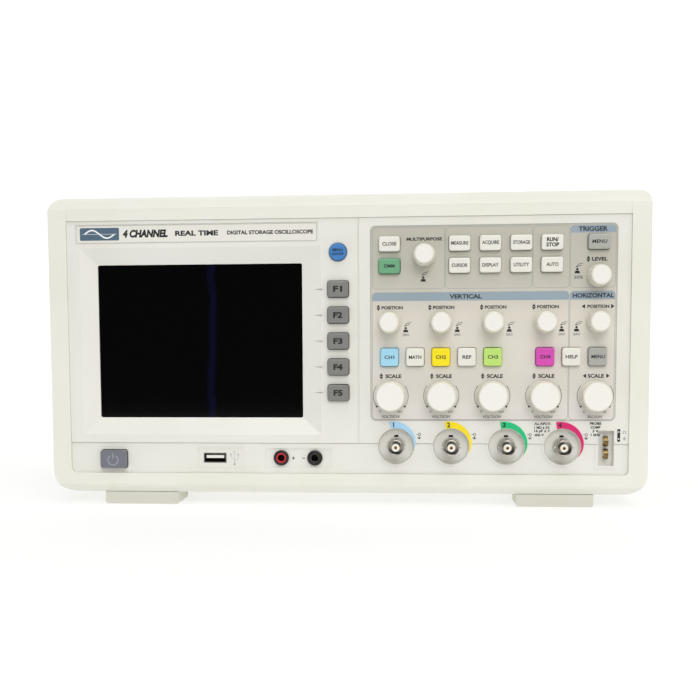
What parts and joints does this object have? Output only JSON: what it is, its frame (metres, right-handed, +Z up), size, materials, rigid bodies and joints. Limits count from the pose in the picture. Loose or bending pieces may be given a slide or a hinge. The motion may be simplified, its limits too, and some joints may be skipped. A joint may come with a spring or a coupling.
{
  "type": "benchtop oscilloscope",
  "caption": "Shallow benchtop oscilloscope with a screen, keys, rotary knobs, bayonet inputs, meter jacks, tilting legs and a folding handle.",
  "frame": {"origin": "under the middle of the instrument, on the surface its feet stand on", "axes": "+Z up, front panel faces -Y, +X to the right of the user"},
  "size_m": [0.37, 0.1266, 0.195],
  "materials": {
    "case_abs": "fine moulded grain",
    "panel_abs": "fine moulded grain",
    "screen_acrylic": "gloss black",
    "lcd_steel": "pressed",
    "board_laminate": "soldered laminate",
    "plated_brass": "bright nickel plate",
    "socket_steel": "plated",
    "socket_plastic": "moulded",
    "foot_abs": "moulded",
    "handle_abs": "moulded",
    "fan_plastic": "moulded",
    "screw_steel": "zinc plated",
    "carrier_acetal": "moulded",
    "knob_plastic": "satin moulded",
    "key_blue": "satin moulded",
    "key_soft_grey": "satin moulded",
    "key_grey": "satin moulded",
    "key_slate": "satin moulded",
    "key_green": "satin moulded",
    "key_sky": "satin moulded",
    "key_yellow": "satin moulded",
    "key_lime": "satin moulded",
    "key_magenta": "satin moulded",
    "key_white": "satin moulded"
  },
  "bodies": {
    "instrument": {"rear_case": "case_abs", "front_frame": "case_abs", "front_panel": "panel_abs", "display_window": "screen_acrylic", "lcd_module": "lcd_steel", "circuit_boards": "board_laminate", "input_jacks": "plated_brass", "front_sockets": "socket_steel", "rear_sockets": "socket_plastic", "support_feet": "foot_abs", "case_screws": "screw_steel"},
    "key_acquire": {"key_acquire": "key_white"},
    "key_auto": {"key_auto": "key_white"},
    "key_ch1": {"key_ch1": "key_sky"},
    "key_ch2": {"key_ch2": "key_yellow"},
    "key_ch3": {"key_ch3": "key_lime"},
    "key_ch4": {"key_ch4": "key_magenta"},
    "key_close": {"key_close": "key_white"},
    "key_cursor": {"key_cursor": "key_white"},
    "key_display": {"key_display": "key_white"},
    "key_dmm": {"key_dmm": "key_green"},
    "key_f1": {"key_f1": "key_soft_grey"},
    "key_f2": {"key_f2": "key_soft_grey"},
    "key_f3": {"key_f3": "key_soft_grey"},
    "key_f4": {"key_f4": "key_soft_grey"},
    "key_f5": {"key_f5": "key_soft_grey"},
    "key_help": {"key_help": "key_white"},
    "key_horizontal_menu": {"key_horizontal_menu": "key_grey"},
    "key_math": {"key_math": "key_white"},
    "key_measure": {"key_measure": "key_white"},
    "key_menu_onoff": {"key_menu_onoff": "key_blue"},
    "key_power": {"key_power": "key_slate"},
    "key_ref": {"key_ref": "key_white"},
    "key_run_stop": {"key_run_stop": "key_white"},
    "key_storage": {"key_storage": "key_white"},
    "key_trigger_menu": {"key_trigger_menu": "key_grey"},
    "key_utility": {"key_utility": "key_white"},
    "carrier_multipurpose": {"carrier_multipurpose": "carrier_acetal"},
    "knob_multipurpose": {"knob_multipurpose": "knob_plastic"},
    "carrier_level": {"carrier_level": "carrier_acetal"},
    "knob_level": {"knob_level": "knob_plastic"},
    "carrier_position_ch1": {"carrier_position_ch1": "carrier_acetal"},
    "knob_position_ch1": {"knob_position_ch1": "knob_plastic"},
    "carrier_position_ch2": {"carrier_position_ch2": "carrier_acetal"},
    "knob_position_ch2": {"knob_position_ch2": "knob_plastic"},
    "carrier_position_ch3": {"carrier_position_ch3": "carrier_acetal"},
    "knob_position_ch3": {"knob_position_ch3": "knob_plastic"},
    "carrier_position_ch4": {"carrier_position_ch4": "carrier_acetal"},
    "knob_position_ch4": {"knob_position_ch4": "knob_plastic"},
    "carrier_position_horizontal": {"carrier_position_horizontal": "carrier_acetal"},
    "knob_position_horizontal": {"knob_position_horizontal": "knob_plastic"},
    "knob_scale_ch1": {"knob_scale_ch1": "knob_plastic"},
    "knob_scale_ch2": {"knob_scale_ch2": "knob_plastic"},
    "knob_scale_ch3": {"knob_scale_ch3": "knob_plastic"},
    "knob_scale_ch4": {"knob_scale_ch4": "knob_plastic"},
    "knob_scale_horizontal": {"knob_scale_horizontal": "knob_plastic"},
    "tilt_leg_left": {"tilt_leg_left": "foot_abs"},
    "tilt_leg_right": {"tilt_leg_right": "foot_abs"},
    "carry_handle": {"carry_handle": "handle_abs"},
    "fan_rotor": {"fan_rotor": "fan_plastic"}
  },
  "joints": [
    {"name": "press_acquire", "type": "slide", "parent": "instrument", "child": "key_acquire", "axis": [0, 1, 0], "range_m": [0, 0.001], "stiffness_N_per_m": 600, "springref_m": -0.001},
    {"name": "press_auto", "type": "slide", "parent": "instrument", "child": "key_auto", "axis": [0, 1, 0], "range_m": [0, 0.001], "stiffness_N_per_m": 600, "springref_m": -0.001},
    {"name": "press_ch1", "type": "slide", "parent": "instrument", "child": "key_ch1", "axis": [0, 1, 0], "range_m": [0, 0.001], "stiffness_N_per_m": 600, "springref_m": -0.001},
    {"name": "press_ch2", "type": "slide", "parent": "instrument", "child": "key_ch2", "axis": [0, 1, 0], "range_m": [0, 0.001], "stiffness_N_per_m": 600, "springref_m": -0.001},
    {"name": "press_ch3", "type": "slide", "parent": "instrument", "child": "key_ch3", "axis": [0, 1, 0], "range_m": [0, 0.001], "stiffness_N_per_m": 600, "springref_m": -0.001},
    {"name": "press_ch4", "type": "slide", "parent": "instrument", "child": "key_ch4", "axis": [0, 1, 0], "range_m": [0, 0.001], "stiffness_N_per_m": 600, "springref_m": -0.001},
    {"name": "press_close", "type": "slide", "parent": "instrument", "child": "key_close", "axis": [0, 1, 0], "range_m": [0, 0.001], "stiffness_N_per_m": 600, "springref_m": -0.001},
    {"name": "press_cursor", "type": "slide", "parent": "instrument", "child": "key_cursor", "axis": [0, 1, 0], "range_m": [0, 0.001], "stiffness_N_per_m": 600, "springref_m": -0.001},
    {"name": "press_display", "type": "slide", "parent": "instrument", "child": "key_display", "axis": [0, 1, 0], "range_m": [0, 0.001], "stiffness_N_per_m": 600, "springref_m": -0.001},
    {"name": "press_dmm", "type": "slide", "parent": "instrument", "child": "key_dmm", "axis": [0, 1, 0], "range_m": [0, 0.001], "stiffness_N_per_m": 600, "springref_m": -0.001},
    {"name": "press_f1", "type": "slide", "parent": "instrument", "child": "key_f1", "axis": [0, 1, 0], "range_m": [0, 0.001], "stiffness_N_per_m": 600, "springref_m": -0.001},
    {"name": "press_f2", "type": "slide", "parent": "instrument", "child": "key_f2", "axis": [0, 1, 0], "range_m": [0, 0.001], "stiffness_N_per_m": 600, "springref_m": -0.001},
    {"name": "press_f3", "type": "slide", "parent": "instrument", "child": "key_f3", "axis": [0, 1, 0], "range_m": [0, 0.001], "stiffness_N_per_m": 600, "springref_m": -0.001},
    {"name": "press_f4", "type": "slide", "parent": "instrument", "child": "key_f4", "axis": [0, 1, 0], "range_m": [0, 0.001], "stiffness_N_per_m": 600, "springref_m": -0.001},
    {"name": "press_f5", "type": "slide", "parent": "instrument", "child": "key_f5", "axis": [0, 1, 0], "range_m": [0, 0.001], "stiffness_N_per_m": 600, "springref_m": -0.001},
    {"name": "press_help", "type": "slide", "parent": "instrument", "child": "key_help", "axis": [0, 1, 0], "range_m": [0, 0.001], "stiffness_N_per_m": 600, "springref_m": -0.001},
    {"name": "press_horizontal_menu", "type": "slide", "parent": "instrument", "child": "key_horizontal_menu", "axis": [0, 1, 0], "range_m": [0, 0.001], "stiffness_N_per_m": 600, "springref_m": -0.001},
    {"name": "press_math", "type": "slide", "parent": "instrument", "child": "key_math", "axis": [0, 1, 0], "range_m": [0, 0.001], "stiffness_N_per_m": 600, "springref_m": -0.001},
    {"name": "press_measure", "type": "slide", "parent": "instrument", "child": "key_measure", "axis": [0, 1, 0], "range_m": [0, 0.001], "stiffness_N_per_m": 600, "springref_m": -0.001},
    {"name": "press_menu_onoff", "type": "slide", "parent": "instrument", "child": "key_menu_onoff", "axis": [0, 1, 0], "range_m": [0, 0.001], "stiffness_N_per_m": 600, "springref_m": -0.001},
    {"name": "press_power", "type": "slide", "parent": "instrument", "child": "key_power", "axis": [0, 1, 0], "range_m": [0, 0.0025], "stiffness_N_per_m": 300, "springref_m": -0.002},
    {"name": "press_ref", "type": "slide", "parent": "instrument", "child": "key_ref", "axis": [0, 1, 0], "range_m": [0, 0.001], "stiffness_N_per_m": 600, "springref_m": -0.001},
    {"name": "press_run_stop", "type": "slide", "parent": "instrument", "child": "key_run_stop", "axis": [0, 1, 0], "range_m": [0, 0.001], "stiffness_N_per_m": 600, "springref_m": -0.001},
    {"name": "press_storage", "type": "slide", "parent": "instrument", "child": "key_storage", "axis": [0, 1, 0], "range_m": [0, 0.001], "stiffness_N_per_m": 600, "springref_m": -0.001},
    {"name": "press_trigger_menu", "type": "slide", "parent": "instrument", "child": "key_trigger_menu", "axis": [0, 1, 0], "range_m": [0, 0.001], "stiffness_N_per_m": 600, "springref_m": -0.001},
    {"name": "press_utility", "type": "slide", "parent": "instrument", "child": "key_utility", "axis": [0, 1, 0], "range_m": [0, 0.001], "stiffness_N_per_m": 600, "springref_m": -0.001},
    {"name": "push_multipurpose", "type": "slide", "parent": "instrument", "child": "carrier_multipurpose", "axis": [0, 1, 0], "range_m": [0, 0.0008], "stiffness_N_per_m": 900, "springref_m": -0.001},
    {"name": "turn_multipurpose", "type": "hinge", "parent": "carrier_multipurpose", "child": "knob_multipurpose", "pos_m": [0.0495, -0.052, 0.155], "axis": [0, -1, 0], "continuous": true},
    {"name": "push_level", "type": "slide", "parent": "instrument", "child": "carrier_level", "axis": [0, 1, 0], "range_m": [0, 0.0008], "stiffness_N_per_m": 900, "springref_m": -0.001},
    {"name": "turn_level", "type": "hinge", "parent": "carrier_level", "child": "knob_level", "pos_m": [0.154, -0.052, 0.1415], "axis": [0, -1, 0], "continuous": true},
    {"name": "push_position_ch1", "type": "slide", "parent": "instrument", "child": "carrier_position_ch1", "axis": [0, 1, 0], "range_m": [0, 0.0008], "stiffness_N_per_m": 900, "springref_m": -0.001},
    {"name": "turn_position_ch1", "type": "hinge", "parent": "carrier_position_ch1", "child": "knob_position_ch1", "pos_m": [0.0284, -0.052, 0.114], "axis": [0, -1, 0], "continuous": true},
    {"name": "push_position_ch2", "type": "slide", "parent": "instrument", "child": "carrier_position_ch2", "axis": [0, 1, 0], "range_m": [0, 0.0008], "stiffness_N_per_m": 900, "springref_m": -0.001},
    {"name": "turn_position_ch2", "type": "hinge", "parent": "carrier_position_ch2", "child": "knob_position_ch2", "pos_m": [0.0598, -0.052, 0.114], "axis": [0, -1, 0], "continuous": true},
    {"name": "push_position_ch3", "type": "slide", "parent": "instrument", "child": "carrier_position_ch3", "axis": [0, 1, 0], "range_m": [0, 0.0008], "stiffness_N_per_m": 900, "springref_m": -0.001},
    {"name": "turn_position_ch3", "type": "hinge", "parent": "carrier_position_ch3", "child": "knob_position_ch3", "pos_m": [0.0912, -0.052, 0.114], "axis": [0, -1, 0], "continuous": true},
    {"name": "push_position_ch4", "type": "slide", "parent": "instrument", "child": "carrier_position_ch4", "axis": [0, 1, 0], "range_m": [0, 0.0008], "stiffness_N_per_m": 900, "springref_m": -0.001},
    {"name": "turn_position_ch4", "type": "hinge", "parent": "carrier_position_ch4", "child": "knob_position_ch4", "pos_m": [0.1226, -0.052, 0.114], "axis": [0, -1, 0], "continuous": true},
    {"name": "push_position_horizontal", "type": "slide", "parent": "instrument", "child": "carrier_position_horizontal", "axis": [0, 1, 0], "range_m": [0, 0.0008], "stiffness_N_per_m": 900, "springref_m": -0.001},
    {"name": "turn_position_horizontal", "type": "hinge", "parent": "carrier_position_horizontal", "child": "knob_position_horizontal", "pos_m": [0.154, -0.052, 0.114], "axis": [0, -1, 0], "continuous": true},
    {"name": "turn_scale_ch1", "type": "hinge", "parent": "instrument", "child": "knob_scale_ch1", "pos_m": [0.0291, -0.052, 0.0691], "axis": [0, -1, 0], "continuous": true},
    {"name": "turn_scale_ch2", "type": "hinge", "parent": "instrument", "child": "knob_scale_ch2", "pos_m": [0.0601, -0.052, 0.0691], "axis": [0, -1, 0], "continuous": true},
    {"name": "turn_scale_ch3", "type": "hinge", "parent": "instrument", "child": "knob_scale_ch3", "pos_m": [0.0911, -0.052, 0.0691], "axis": [0, -1, 0], "continuous": true},
    {"name": "turn_scale_ch4", "type": "hinge", "parent": "instrument", "child": "knob_scale_ch4", "pos_m": [0.1221, -0.052, 0.0691], "axis": [0, -1, 0], "continuous": true},
    {"name": "turn_scale_horizontal", "type": "hinge", "parent": "instrument", "child": "knob_scale_horizontal", "pos_m": [0.1531, -0.052, 0.0691], "axis": [0, -1, 0], "continuous": true},
    {"name": "swing_leg_left", "type": "hinge", "parent": "instrument", "child": "tilt_leg_left", "pos_m": [-0.13, -0.0235, 0.0048], "axis": [-1, 0, 0], "range_deg": [0, 100]},
    {"name": "swing_leg_right", "type": "hinge", "parent": "instrument", "child": "tilt_leg_right", "pos_m": [0.13, -0.0235, 0.0048], "axis": [-1, 0, 0], "range_deg": [0, 100]},
    {"name": "raise_handle", "type": "hinge", "parent": "instrument", "child": "carry_handle", "pos_m": [0, -0.001, 0.1874], "axis": [1, 0, 0], "range_deg": [0, 90]},
    {"name": "spin_fan", "type": "hinge", "parent": "instrument", "child": "fan_rotor", "pos_m": [0.095, 0.053, 0.108], "axis": [0, 1, 0], "continuous": true}
  ]
}
